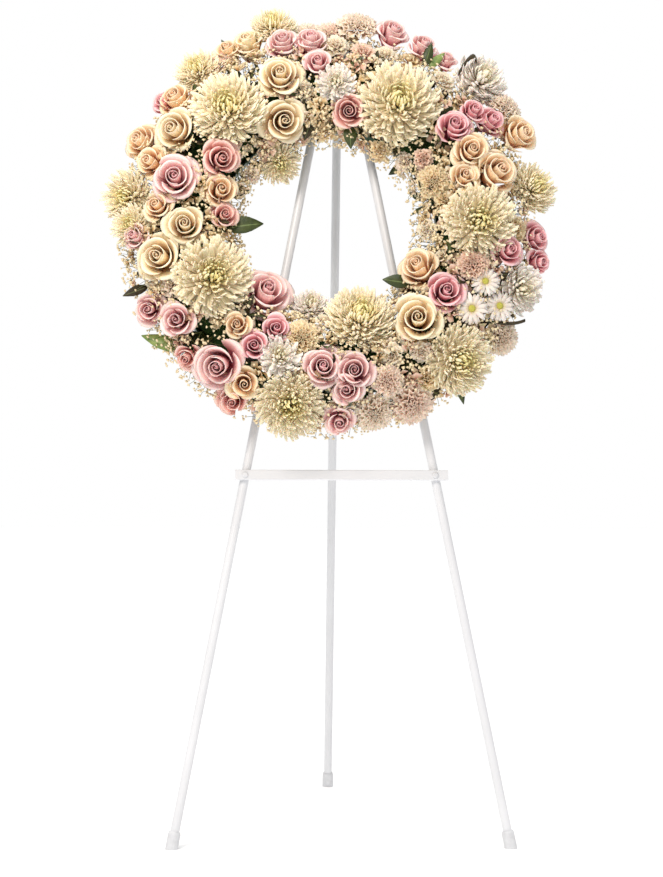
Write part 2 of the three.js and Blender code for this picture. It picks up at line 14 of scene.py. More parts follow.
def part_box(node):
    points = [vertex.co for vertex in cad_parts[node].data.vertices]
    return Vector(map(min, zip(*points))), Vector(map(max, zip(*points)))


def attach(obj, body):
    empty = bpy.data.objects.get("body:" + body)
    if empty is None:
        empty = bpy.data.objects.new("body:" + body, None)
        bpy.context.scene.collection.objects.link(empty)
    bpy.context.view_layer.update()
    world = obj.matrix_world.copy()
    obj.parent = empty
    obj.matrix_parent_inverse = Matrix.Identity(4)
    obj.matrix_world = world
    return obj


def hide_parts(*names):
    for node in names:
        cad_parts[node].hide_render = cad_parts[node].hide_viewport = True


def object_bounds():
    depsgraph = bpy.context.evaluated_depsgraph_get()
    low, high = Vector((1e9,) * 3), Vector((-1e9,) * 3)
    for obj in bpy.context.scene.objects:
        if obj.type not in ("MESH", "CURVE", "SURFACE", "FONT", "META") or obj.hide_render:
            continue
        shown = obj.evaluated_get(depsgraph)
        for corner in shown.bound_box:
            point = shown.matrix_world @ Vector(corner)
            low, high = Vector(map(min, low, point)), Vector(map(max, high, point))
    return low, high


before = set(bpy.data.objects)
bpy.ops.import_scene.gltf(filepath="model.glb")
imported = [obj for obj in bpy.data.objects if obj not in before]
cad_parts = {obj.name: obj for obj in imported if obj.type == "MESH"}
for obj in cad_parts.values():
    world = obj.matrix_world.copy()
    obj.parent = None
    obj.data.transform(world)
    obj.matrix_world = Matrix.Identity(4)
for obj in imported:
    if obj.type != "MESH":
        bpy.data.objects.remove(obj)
CAD_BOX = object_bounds()
rng = np.random.default_rng(11)

# ---------------------------------------------------------------- the ring's own axes
MM = 0.001
LEAN = math.radians(10.5)
NORMAL = np.array([0.0, -math.cos(LEAN), math.sin(LEAN)])
UPHILL = np.array([0.0, math.sin(LEAN), math.cos(LEAN)])
SIDEWAYS = np.array([1.0, 0.0, 0.0])
TRAY_DEPTH = 20.0
FRONT = "front_frame"
GOLDEN_TURN = math.radians(137.508)
BLACK = (0, 0, 0, 1)
MID_TINT = (0.5, 0.5, 0.5)

# the dome of flowers over the foam ring
CORE_RADIUS = 200.0
CORE_DEPTH = 28.0
DOME_RISE = 62.0
DOME_OUT = 96.0
DOME_IN = 74.0
EDGE_RISE = 10.0
FACING = 0.38

tray_low, tray_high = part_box("ring_tray")
RING_CENTRE = (np.array(tray_low) + np.array(tray_high)) / 2 - NORMAL * TRAY_DEPTH / 2 * MM
TO_WORLD = np.column_stack([SIDEWAYS, UPHILL, NORMAL])


def to_world(points):
    """Turns points on the ring's face, in millimetres, into metres in the frame."""
    return RING_CENTRE + np.asarray(points) @ TO_WORLD.T * MM


def dome_rise(offset):
    """How far the flowers' centres stand over the foam's core, at this distance from its circle."""
    span = np.where(offset > 0, DOME_OUT, DOME_IN)
    share = np.clip(1 - (offset / span) ** 2, 0, None)
    return np.maximum(DOME_RISE * np.sqrt(share), EDGE_RISE)


def seat(x, y):
    """The centre and the facing direction of a bloom at this place on the ring's face."""
    reach = math.hypot(x, y)
    offset = reach - CORE_RADIUS
    rise = float(dome_rise(np.array(offset)))
    tilt = FACING * math.atan2(offset, rise)
    outward = np.array([x, y, 0.0]) / reach
    facing = outward * math.sin(tilt) + np.array([0, 0, 1.0]) * math.cos(tilt)
    return np.array([x, y, CORE_DEPTH + rise]), facing


def turned_to(facing, spin=0.0):
    """A 3 x 3 turn whose columns are the axes of a bloom that faces this way."""
    z = facing / np.linalg.norm(facing)
    side = np.cross([0.0, 1.0, 0.0], z)
    if np.linalg.norm(side) < 1e-3:
        side = np.array([1.0, 0.0, 0.0])
    side = side / np.linalg.norm(side)
    up = np.cross(z, side)
    across = side * math.cos(spin) + up * math.sin(spin)
    return np.column_stack([across, np.cross(z, across), z])


# ---------------------------------------------------------------- meshes
def sheet_faces(across, along):
    """Triangles of one closed thin sheet: its face, its back and the rim between them."""
    at = np.arange(across * along).reshape(across, along)
    a, b, c, d = at[:-1, :-1], at[1:, :-1], at[1:, 1:], at[:-1, 1:]
    face = np.concatenate([np.stack([a, b, c], -1).reshape(-1, 3),
                           np.stack([a, c, d], -1).reshape(-1, 3)])
    back = face[:, ::-1] + across * along
    loop = np.concatenate([at[:, 0], at[-1, 1:], at[-2::-1, -1], at[0, -2:0:-1]])
    nxt = np.roll(loop, -1)
    under = across * along
    rim = np.concatenate([np.stack([nxt, loop, loop + under], -1),
                          np.stack([nxt, loop + under, nxt + under], -1)])
    return np.concatenate([face, back, rim])


def thin_sheets(grid, thickness):
    """Closes each open grid of points (sheet, across, along, xyz) into a thin sheet of its own."""
    count, across, along, _ = grid.shape
    normal = np.cross(np.gradient(grid, axis=1), np.gradient(grid, axis=2))
    normal /= np.maximum(np.linalg.norm(normal, axis=-1, keepdims=True), 1e-9)
    half = normal * thickness / 2
    upper = (grid + half).reshape(count, -1, 3)
    lower = (grid - half).reshape(count, -1, 3)
    points = np.concatenate([upper, lower], axis=1)
    faces = sheet_faces(across, along)
    steps = np.arange(count)[:, None, None] * points.shape[1]
    return points.reshape(-1, 3), (faces[None] + steps).reshape(-1, 3)


class Form:
    """Closed pieces gathered into one mesh, with a tint at each point for the material to read."""

    def __init__(self):
        self.points, self.faces, self.tints, self.looks = [], [], [], []
        self.count = 0

    def add(self, points, faces, tint, look=0):
        self.points.append(points)
        self.faces.append(faces + self.count)
        self.tints.append(np.broadcast_to(tint, (len(points), 3)))
        self.looks.append(np.full(len(faces), look))
        self.count += len(points)

    def add_sheets(self, grid, thickness, tint, place=None, look=0):
        """Adds thin sheets: a tint for each grid point, and place as (turn, size, centre)."""
        points, faces = thin_sheets(grid, thickness)
        count = grid.shape[0]
        flat = np.broadcast_to(tint, grid.shape).reshape(count, -1, 3)
        both = np.concatenate([flat, flat], axis=1).reshape(-1, 3)
        if place is not None:
            turn, size, centre = place
            points = points * size @ turn.T + centre
        self.add(points, faces, both, look)

    def make(self, name, materials, body=FRONT, nodes=()):
        """Makes the object in the frame, hangs it on the body it rides on, and hides the CAD parts
        that it replaces.
        """
        points = to_world(np.concatenate(self.points))
        faces = np.concatenate(self.faces)
        tints = np.concatenate(self.tints)
        mesh = bpy.data.meshes.new(name)
        mesh.vertices.add(len(points))
        mesh.vertices.foreach_set("co", points.astype(np.float32).ravel())
        mesh.loops.add(faces.size)
        mesh.loops.foreach_set("vertex_index", faces.astype(np.int32).ravel())
        mesh.polygons.add(len(faces))
        mesh.polygons.foreach_set("loop_start", np.arange(0, faces.size, 3, dtype=np.int32))
        for material in materials:
            mesh.materials.append(material)
        mesh.polygons.foreach_set("material_index", np.concatenate(self.looks).astype(np.int32))
        mesh.update(calc_edges=True)
        layer = mesh.attributes.new("tint", "FLOAT_COLOR", "POINT")
        colours = np.column_stack([tints, np.ones(len(tints))]).astype(np.float32)
        layer.data.foreach_set("color", colours.ravel())
        mesh.shade_smooth()
        piece = bpy.data.objects.new(name, mesh)
        bpy.context.collection.objects.link(piece)
        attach(piece, body)
        if nodes:
            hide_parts(*nodes)
        return piece


# ---------------------------------------------------------------- petals
def tint_of(layer, along, chance):
    """The numbers that a petal's material reads: its layer, how far along, and chance."""
    return np.stack(np.broadcast_arrays(layer, along, chance), axis=-1)


# how a rose changes from its heart to its outermost petals, at these shares of the way out
ROSE_STAGES = [0.0, 0.34, 0.58, 1.0]
ROSE_BODY = [0.05, 0.27, 0.47, 0.66]
ROSE_LIP = [-0.03, -0.02, 0.17, 0.38]
ROSE_TOP = [0.55, 0.60, 0.50, 0.14]
ROSE_HALF_TURN = [2.0, 1.5, 1.05, 0.84]


def rose_petals(rng, petals, openness, across=9, along=8):
    """A half-open rose of unit radius: a small wrapped heart, then broad petals that roll back."""
    share = np.arange(petals) / (petals - 1)
    i = share[:, None, None]
    body, lip, top, half = (np.interp(share, ROSE_STAGES, stage)[:, None, None]
                            for stage in (ROSE_BODY, ROSE_LIP, ROSE_TOP, ROSE_HALF_TURN))
    u = np.linspace(-1, 1, across)[None, :, None]
    v0 = (np.linspace(0, 1, along) ** 0.8)[None, None, :]
    chance, other, wave = (rng.random(petals)[:, None, None] for _ in range(3))
    wave = wave * math.tau
    turn = (np.arange(petals) * GOLDEN_TURN + rng.normal(0, 0.18, petals))[:, None, None]
    v = v0 * (1 - (0.08 + 0.14 * i) * np.abs(u) ** 2.6)
    body = body * (0.94 + 0.10 * openness) + 0.03 * (other - 0.5)
    top = top - 0.14 * openness * i ** 2 + 0.06 * (chance - 0.5)
    lip = lip * (0.85 + 0.30 * chance)
    roll = np.clip((v - 0.55) / 0.45, 0, 1) ** 1.3
    reach = 0.04 + (body - 0.04) * np.sin(math.pi / 2 * np.minimum(v / 0.8, 1)) ** 0.85 + lip * roll
    reach = reach + (0.015 + 0.05 * i) * u + 0.02 * np.sin(3 * u + wave) * v
    reach = reach + 0.05 * i * (1 - np.abs(u)) ** 2 * roll
    height = -0.85 + (top + 0.85) * (1 - np.cos(math.pi / 2 * np.minimum(v / 0.9, 1))) ** 0.75
    height = height - np.maximum(lip, 0) * 0.55 * roll ** 1.6
    height = height + 0.03 * np.sin(4 * u + wave * 2) * v ** 3
    angle = turn + u * half * (0.4 + 0.6 * np.sin(math.pi / 2 * np.minimum(v * 1.25, 1)))
    reach = np.maximum(reach, 0.01)
    grid = np.stack(np.broadcast_arrays(reach * np.cos(angle), reach * np.sin(angle), height),
                    axis=-1)
    return grid, tint_of(i, v, chance)


def mum_petals(rng, petals, breadth=1.0, across=3):
    """A chrysanthemum of unit radius: long petals over a dome, curled in at the heart."""
    order = ((np.arange(petals) + 0.5) / petals)[:, None, None]
    u = np.linspace(-1, 1, across)[None, :, None]
    v = np.array([0, 0.45, 0.82, 1.0])[None, None, :]
    chance = rng.random(petals)[:, None, None]
    other = rng.random(petals)[:, None, None]
    turn = (np.arange(petals) * GOLDEN_TURN)[:, None, None] + (other - 0.5) * 0.3
    polar = math.radians(118) * order ** 0.56
    deep = np.where(polar < math.pi / 2, 0.66, 0.45)
    tip = 1 / np.sqrt(np.sin(polar) ** 2 + (np.cos(polar) / deep) ** 2)
    tip = tip * (0.80 + 0.22 * chance)
    reach = 0.10 + (tip - 0.10) * v
    lean = polar + (0.50 - 0.10 * order) * np.sin(math.pi * v * 0.5 + 0.1) * (1 - v) ** 0.8
    lean = lean - 0.30 * (other - 0.40) * v ** 2 - 0.30 * order ** 2 * v ** 3
    shape = np.array([0.5, 1.0, 0.95, 0.50])[None, None, :]
    width = breadth * (0.030 + 0.024 * order) * (0.8 + 0.4 * chance) * shape
    swing = turn + (chance - 0.5) * 0.45 * v ** 2
    cup = 0.6 / breadth * width * (u ** 2 - 0.5)
    radial = reach * np.sin(lean) - cup * np.cos(lean)
    height = reach * np.cos(lean) + cup * np.sin(lean) - 0.08
    x = radial * np.cos(swing) - u * width * np.sin(swing)
    y = radial * np.sin(swing) + u * width * np.cos(swing)
    grid = np.stack(np.broadcast_arrays(x, y, height), axis=-1)
    return grid, tint_of(order, v, chance)


def carnation_petals(rng, petals, across=13, along=5):
    """A carnation of unit radius: crowded fans with frilled, toothed edges."""
    order = (np.arange(petals) / (petals - 1))[:, None, None]
    u = np.linspace(-1, 1, across)[None, :, None]
    v = np.linspace(0, 1, along)[None, None, :]
    chance = rng.random(petals)[:, None, None]
    wave = rng.random(petals)[:, None, None] * math.tau
    turn = (np.arange(petals) * GOLDEN_TURN)[:, None, None]
    polar = math.radians(12) + math.radians(82) * order ** 0.8
    spread = 0.52 * v ** 1.2 * (1 - 0.1 * u ** 2)
    tooth = 0.05 * np.where(np.arange(across) % 2 == 0, 1, -1)[None, :, None] * v ** 4
    length = (0.68 + 0.30 * order + 0.05 * chance) * (1 - 0.12 * u ** 2) + tooth
    ruffle = 0.09 * np.sin(u * 7.5 + wave) * v ** 2 + 0.04 * np.sin(u * 13 + wave * 2) * v ** 3
    lean = polar + ruffle * 1.4 - 0.15 * v
    reach = length * v
    radial = reach * np.sin(lean)
    height = reach * np.cos(lean) * 0.72 - 0.25
    angle = turn + u * spread / np.maximum(0.25, np.sin(polar))
    grid = np.stack(np.broadcast_arrays(radial * np.cos(angle), radial * np.sin(angle), height),
                    axis=-1)
    return grid, tint_of(order, v, chance)


def daisy_petals(rng, petals=26, across=3, along=4):
    """A flat daisy of unit radius: two rounds of round-ended petals."""
    order = np.arange(petals)
    lower = (order % 2)[:, None, None]
    u = np.linspace(-1, 1, across)[None, :, None]
    v = np.linspace(0, 1, along)[None, None, :]
    chance = rng.random(petals)[:, None, None]
    turn = (order * math.tau / petals)[:, None, None] + (chance - 0.5) * 0.15
    reach = 0.12 + (0.86 + 0.08 * chance - 0.06 * lower) * v
    width = 0.13 * np.array([0.45, 0.95, 1.0, 0.45])[None, None, :]
    x = reach * np.cos(turn) - u * width * np.sin(turn)
    y = reach * np.sin(turn) + u * width * np.cos(turn)
    z = 0.10 - 0.07 * lower + 0.16 * v * (1 - v) * 2 - 0.10 * v ** 2 * chance + 0.03 * u ** 2
    grid = np.stack(np.broadcast_arrays(x, y, z), axis=-1)
    return grid, tint_of(0.5 + 0.5 * v, v, chance)


def button(radius, height, around=12):
    """The domed heart of a daisy, closed."""
    turn = np.arange(around) * math.tau / around
    rings = [(1.0, 0.0), (0.85, 0.55), (0.45, 0.92)]
    points = [[0, 0, -0.5 * height]]
    for reach, rise in rings:
        points += [[radius * reach * math.cos(t), radius * reach * math.sin(t), height * rise]
                   for t in turn]
    points.append([0, 0, height])
    k = np.arange(around)
    n = (k + 1) % around
    faces = [np.column_stack([np.zeros(around, int), 1 + n, 1 + k])]
    for ring in range(len(rings) - 1):
        low, high = 1 + ring * around, 1 + (ring + 1) * around
        faces += [np.column_stack([low + k, low + n, high + n]),
                  np.column_stack([low + k, high + n, high + k])]
    last = 1 + (len(rings) - 1) * around
    faces.append(np.column_stack([last + k, last + n, np.full(around, len(points) - 1)]))
    return np.array(points), np.concatenate(faces)


def leaf_sheet(length, width, fold, droop, across=3, along=7):
    """One pointed leaf along +x from its stalk, folded along its midrib."""
    u = np.linspace(-1, 1, across)[:, None]
    v = np.linspace(0, 1, along)[None, :]
    side = width / 2 * np.sin(math.pi * np.clip(v, 0.02, 0.985) ** 0.85) ** 0.9
    x = length * v + 0 * u
    y = side * u
    z = fold * np.abs(u) * side - droop * length * v ** 2
    grid = np.stack(np.broadcast_arrays(x, y, z), axis=-1)[None]
    return grid, tint_of(np.abs(u)[None], v[None], 0.5)


def floret(tips=6):
    """One double floret of unit radius with long and short petal tips, closed."""
    k = np.arange(tips)
    n = (k + 1) % tips
    around = k * math.tau / tips
    long = k % 2 == 0
    reach = np.where(long, 1.0, 0.66)
    inner = np.column_stack([0.5 * np.cos(around + 0.4), 0.5 * np.sin(around + 0.4),
                             np.where(long, 0.32, 0.55)])
    outer = np.column_stack([reach * np.cos(around), reach * np.sin(around),
                             np.where(long, 0.25, 0.0)])
    points = np.concatenate([[[0, 0, 0.62]], inner, outer, [[0, 0, -0.55]]])
    low, high, last = 1, 1 + tips, 1 + 2 * tips
    top = np.column_stack([np.zeros(tips, int), low + k, low + n])
    band = np.concatenate([np.column_stack([low + k, high + k, high + n]),
                           np.column_stack([low + k, high + n, low + n])])
    under = np.column_stack([np.full(tips, last), high + n, high + k])
    return points, np.concatenate([top, band, under])


def turns_to(directions, spin):
    """Many turns at once: one 3 x 3 matrix for each facing direction."""
    z = directions / np.linalg.norm(directions, axis=1, keepdims=True)
    ref = np.where(np.abs(z[:, 1:2]) > 0.95, [[1.0, 0, 0]], [[0, 1.0, 0]])
    side = np.cross(ref, z)
    side /= np.linalg.norm(side, axis=1, keepdims=True)
    up = np.cross(z, side)
    across = side * np.cos(spin)[:, None] + up * np.sin(spin)[:, None]
    return np.stack([across, np.cross(z, across), z], axis=2)


def add_copies(form, points, faces, turns, sizes, centres, tints, look=0):
    """Adds one copy of a small closed shape for each turn, size and centre."""
    placed = np.einsum("nij,pj->npi", turns, points) * sizes[:, None, None] + centres[:, None, :]
    steps = np.arange(len(centres))[:, None, None] * len(points)
    form.add(placed.reshape(-1, 3), (faces[None] + steps).reshape(-1, 3), tints, look)


def add_stalks(form, starts, ends, radius, bend, tint, look, sides=4, steps=4):
    """Thin bent stalks from each start to its end, each a closed tube."""
    count = len(starts)
    t = np.linspace(0, 1, steps)[None, :, None]
    path = starts[:, None] * (1 - t) + ends[:, None] * t + bend[:, None] * (t * (1 - t) * 4)
    along = (ends - starts) / np.maximum(np.linalg.norm(ends - starts, axis=1, keepdims=True), 1e-6)
    turns = turns_to(along, np.zeros(count))
    ring = np.arange(sides) * math.tau / sides
    section = np.column_stack([np.cos(ring), np.sin(ring), np.zeros(sides)]) * radius
    tube = path[:, :, None, :] + np.einsum("nij,sj->nsi", turns, section)[:, None]
    points = tube.reshape(count, -1, 3)
    k = np.arange(sides)
    n = (k + 1) % sides
    faces = []
    for s in range(steps - 1):
        low, high = s * sides, (s + 1) * sides
        faces.append(np.column_stack([low + k, low + n, high + n]))
        faces.append(np.column_stack([low + k, high + n, high + k]))
    last = (steps - 1) * sides
    fan = np.arange(1, sides - 1)
    faces.append(np.column_stack([np.zeros(sides - 2, int), fan + 1, fan]))
    faces.append(np.column_stack([np.full(sides - 2, last), last + fan, last + fan + 1]))
    faces = np.concatenate(faces)
    offsets = np.arange(count)[:, None, None] * points.shape[1]
    form.add(points.reshape(-1, 3), (faces[None] + offsets).reshape(-1, 3), np.array(tint), look)


# ---------------------------------------------------------------- materials
def linear(colour):
    """Screen colour, 0 to 255 a channel, as the renderer's linear colour."""
    part = np.array(colour) / 255
    return (*np.where(part <= 0.04045, part / 12.92, ((part + 0.055) / 1.055) ** 2.4), 1.0)


class Look:
    """A procedural material: nodes are added by kind and end in a Principled shader."""

    def __init__(self, name, roughness, sheen=0.0, subsurface=0.0, specular=0.4):
        self.material = bpy.data.materials.new(name)
        self.material.use_nodes = True
        self.tree = self.material.node_tree
        self.shader = self.tree.nodes["Principled BSDF"]
        self.shader.inputs["Roughness"].default_value = roughness
        self.shader.inputs["Specular IOR Level"].default_value = specular
        self.shader.inputs["Sheen Weight"].default_value = sheen
        self.shader.inputs["Subsurface Weight"].default_value = subsurface
        self.shader.inputs["Subsurface Scale"].default_value = 0.004

    def node(self, kind, **values):
        made = self.tree.nodes.new(kind)
        for key, value in values.items():
            if hasattr(made, key):
                setattr(made, key, value)
            else:
                made.inputs[key.replace("_", " ")].default_value = value
        return made

    def link(self, source, target):
        self.tree.links.new(source, target)

    def ramp(self, source, stops):
        made = self.node("ShaderNodeValToRGB")
        bar = made.color_ramp
        bar.elements[0].position, bar.elements[0].color = stops[0][0], stops[0][1]
        bar.elements[1].position, bar.elements[1].color = stops[-1][0], stops[-1][1]
        for place, colour in stops[1:-1]:
            bar.elements.new(place).color = colour
        self.link(source, made.inputs["Fac"])
        return made.outputs["Color"]

    def mix(self, factor, first, second, blend="MIX"):
        made = self.node("ShaderNodeMix", data_type="RGBA", blend_type=blend)
        pairs = ((made.inputs[0], factor), (made.inputs[6], first), (made.inputs[7], second))
        for socket, value in pairs:
            if hasattr(value, "is_output"):
                self.link(value, socket)
            else:
                socket.default_value = value
        return made.outputs[2]

    def noise(self, scale, detail=3.0):
        place = self.node("ShaderNodeTexCoord")
        made = self.node("ShaderNodeTexNoise", Scale=scale, Detail=detail)
        self.link(place.outputs["Object"], made.inputs["Vector"])
        return made.outputs["Fac"]

    def tint(self):
        attribute = self.node("ShaderNodeAttribute", attribute_name="tint")
        split = self.node("ShaderNodeSeparateColor")
        self.link(attribute.outputs["Color"], split.inputs["Color"])
        return split.outputs[0], split.outputs[1], split.outputs[2]

    def bump(self, height, distance, strength=0.5):
        made = self.node("ShaderNodeBump", Distance=distance, Strength=strength)
        self.link(height, made.inputs["Height"])
        self.link(made.outputs["Normal"], self.shader.inputs["Normal"])

    def done(self, colour):
        self.link(colour, self.shader.inputs["Base Color"])
        return self.material


def petal_look(name, deep, body, rim, heart_share=0.35):
    """Rose petals: deep at the base and in the heart, partly their own colour and partly painted
    shade in the creases, paler to the rim, partly a painted highlight on the edges, and each a
    little different.
    """
    look = Look(name, roughness=0.62, sheen=0.15, subsurface=0.12, specular=0.25)
    layer, along, chance = look.tint()
    deep, body, rim = linear(deep), linear(body), linear(rim)
    # the deep colour at each petal's base is partly painted shade where the petals crowd; the rim
    # colour is partly a painted highlight
    length = look.ramp(along, [(0.35, deep), (0.74, body), (0.93, rim), (1.0, rim)])
    # the inner layers take the deep colour: partly the heart's own colour, partly painted shade
    # deep in the heart
    heart = look.ramp(layer, [(0.0, (heart_share,) * 3 + (1,)), (0.45, BLACK), (1.0, BLACK)])
    colour = look.mix(heart, length, deep)
    pale = look.ramp(chance, [(0.0, (0.90, 0.88, 0.87, 1)), (1.0, (1.06, 1.05, 1.04, 1))])
    colour = look.mix(1.0, colour, pale, "MULTIPLY")
    blotch = look.ramp(look.noise(75.0), [(0.3, (0.93, 0.92, 0.90, 1)),
                                         (0.7, (1.04, 1.03, 1.03, 1))])
    colour = look.mix(1.0, colour, blotch, "MULTIPLY")
    look.bump(look.noise(900.0, 2.0), 0.0004, 0.35)
    return look.done(colour)


def mum_look(name, heart, body, tip):
    """Chrysanthemum petals: green-yellow in the heart, tan at each petal's base as painted shade
    between the petals, cream along, and whiter at the outer tips, partly painted light on the tips.
    """
    look = Look(name, roughness=0.6, sheen=0.1, subsurface=0.12, specular=0.25)
    layer, along, chance = look.tint()
    heart, body, tip = linear(heart), linear(body), linear(tip)
    # the tan at each petal's base is painted shade between the petals; the whiter tip is partly
    # painted light
    length = look.ramp(along, [(0.0, linear((220, 190, 128))), (0.35, body), (1.0, tip)])
    centre = look.ramp(layer, [(0.0, (0.85, 0.85, 0.85, 1)), (0.06, (0.5, 0.5, 0.5, 1)),
                               (0.2, BLACK)])
    colour = look.mix(centre, length, heart)
    pale = look.ramp(chance, [(0.0, (0.88, 0.87, 0.84, 1)), (1.0, (1.06, 1.06, 1.05, 1))])
    colour = look.mix(1.0, colour, pale, "MULTIPLY")
    look.bump(look.noise(1200.0, 2.0), 0.0003, 0.3)
    return look.done(colour)


def leaf_look(name, dark, light, roughness=0.42):
    """Leaves in two close greens, with a paler midrib."""
    look = Look(name, roughness=roughness, specular=0.4)
    across, _, _ = look.tint()
    blade = look.ramp(look.noise(120.0), [(0.25, linear(dark)), (0.75, linear(light))])
    rib = look.ramp(across, [(0.0, (0.5, 0.5, 0.5, 1)), (0.12, BLACK), (1.0, BLACK)])
    colour = look.mix(rib, blade, linear((150, 170, 110)))
    look.bump(look.noise(420.0, 2.0), 0.0008, 0.5)
    return look.done(colour)


def plain_look(name, first, second, scale, roughness, bump, metallic=0.0, specular=0.4):
    """A surface of two close shades in a fine pattern, such as foam, enamel or rubber."""
    look = Look(name, roughness=roughness, specular=specular)
    look.shader.inputs["Metallic"].default_value = metallic
    colour = look.ramp(look.noise(scale), [(0.3, linear(first)), (0.7, linear(second))])
    look.bump(look.noise(scale * 2, 4.0), bump, 0.5)
    return look.done(colour)


def enamel_look():
    """White powder-coated steel with faint orange peel and a little grey where it is handled."""
    look = Look("white_enamel", roughness=0.34, specular=0.5)
    wear = look.ramp(look.noise(9.0), [(0.35, linear((222, 223, 226))),
                                     (0.7, linear((229, 230, 233)))])
    rough = look.node("ShaderNodeMapRange", To_Min=0.28, To_Max=0.45)
    look.link(look.noise(40.0), rough.inputs["Value"])
    look.link(rough.outputs["Result"], look.shader.inputs["Roughness"])
    look.bump(look.noise(1500.0, 2.0), 0.00006, 0.4)
    return look.done(wear)


# In each petal_look the first colour, at the base and in the heart, is partly painted shade, and
# the last, at the rim, partly a painted highlight; in each mum_look the first is the heart's own
# green-yellow.
LOOKS = {
    "pink": petal_look("pink_rose_petal", (204, 96, 114), (248, 208, 206), (252, 226, 222), 0.60),
    "deep": petal_look("deep_pink_petal", (186, 60, 92), (242, 178, 184), (250, 210, 212), 0.60),
    "salmon": petal_look("salmon_petal", (206, 92, 92), (244, 190, 180), (250, 214, 204), 0.55),
    "blush": petal_look("blush_petal", (200, 150, 124), (236, 208, 186), (244, 222, 204), 0.3),
    "cream": petal_look("cream_rose_petal",
                        (226, 174, 106), (252, 234, 196), (254, 243, 216), 0.40),
    "peach": petal_look("peach_rose_petal", (224, 154, 98), (251, 222, 182), (253, 234, 206), 0.40),
    "white": mum_look("white_mum_petal", (236, 226, 190), (244, 232, 218), (249, 242, 236)),
    "mum": mum_look("cream_mum_petal", (242, 228, 156), (251, 232, 194), (253, 242, 216)),
    "daisy": mum_look("white_daisy_petal", (226, 208, 184), (240, 224, 214), (247, 236, 230)),
    "daisy_heart": plain_look("daisy_heart",
                              (168, 170, 70), (206, 196, 96), 500.0, 0.8, 0.0012, specular=0.2),
    "carnation": petal_look("white_carnation_petal",
                            (196, 164, 126), (234, 214, 190), (242, 226, 208), 0.3),
    "cream_filler": petal_look("cream_filler_petal",
                               (176, 136, 80), (230, 202, 154), (240, 220, 182), 0.2),
    "blush_filler": petal_look("blush_filler_petal",
                               (180, 122, 96), (226, 186, 162), (238, 208, 188), 0.2),
    "white_filler": petal_look("white_filler_petal",
                               (190, 162, 122), (234, 216, 188), (242, 230, 208), 0.2),
    "filler": plain_look("filler_floret", (232, 212, 168), (242, 226, 192), 300.0, 0.75, 0.0004),
    "stalk": plain_look("green_stalk", (92, 100, 54), (122, 126, 74), 200.0, 0.6, 0.0004),
    "leaf": leaf_look("leaf", (44, 56, 26), (74, 84, 40)),
    # dark brown leaves: partly the leaves' own colour, partly painted shade in the gaps between the
    # flowers
    "dark_leaf_and_shade": leaf_look("dark_leaf", (42, 34, 20), (68, 58, 34), 0.6),
    "pale_leaf": leaf_look("pale_leaf", (96, 124, 62), (150, 166, 92)),
    "foam": plain_look("floral_foam",
                       (38, 66, 32), (58, 84, 44), 500.0, 0.95, 0.0012, specular=0.1),
    "tray": plain_look("green_plastic_tray", (24, 60, 36), (30, 70, 42), 60.0, 0.4, 0.0002),
    "wire": plain_look("green_florist_wire", (30, 56, 34), (42, 70, 42), 80.0, 0.45, 0.0002),
    "zinc": plain_look("zinc_rivet", (150, 152, 156), (186, 188, 192), 250.0, 0.35, 0.0001, 1.0),
    "white_rivet": plain_look("white_rivet", (214, 215, 218), (224, 225, 228), 120.0, 0.38, 0.0001),
    "cap": plain_look("white_rubber_cap", (208, 209, 212), (220, 221, 224), 150.0, 0.6, 0.0003),
}
LOOKS["enamel"] = enamel_look()

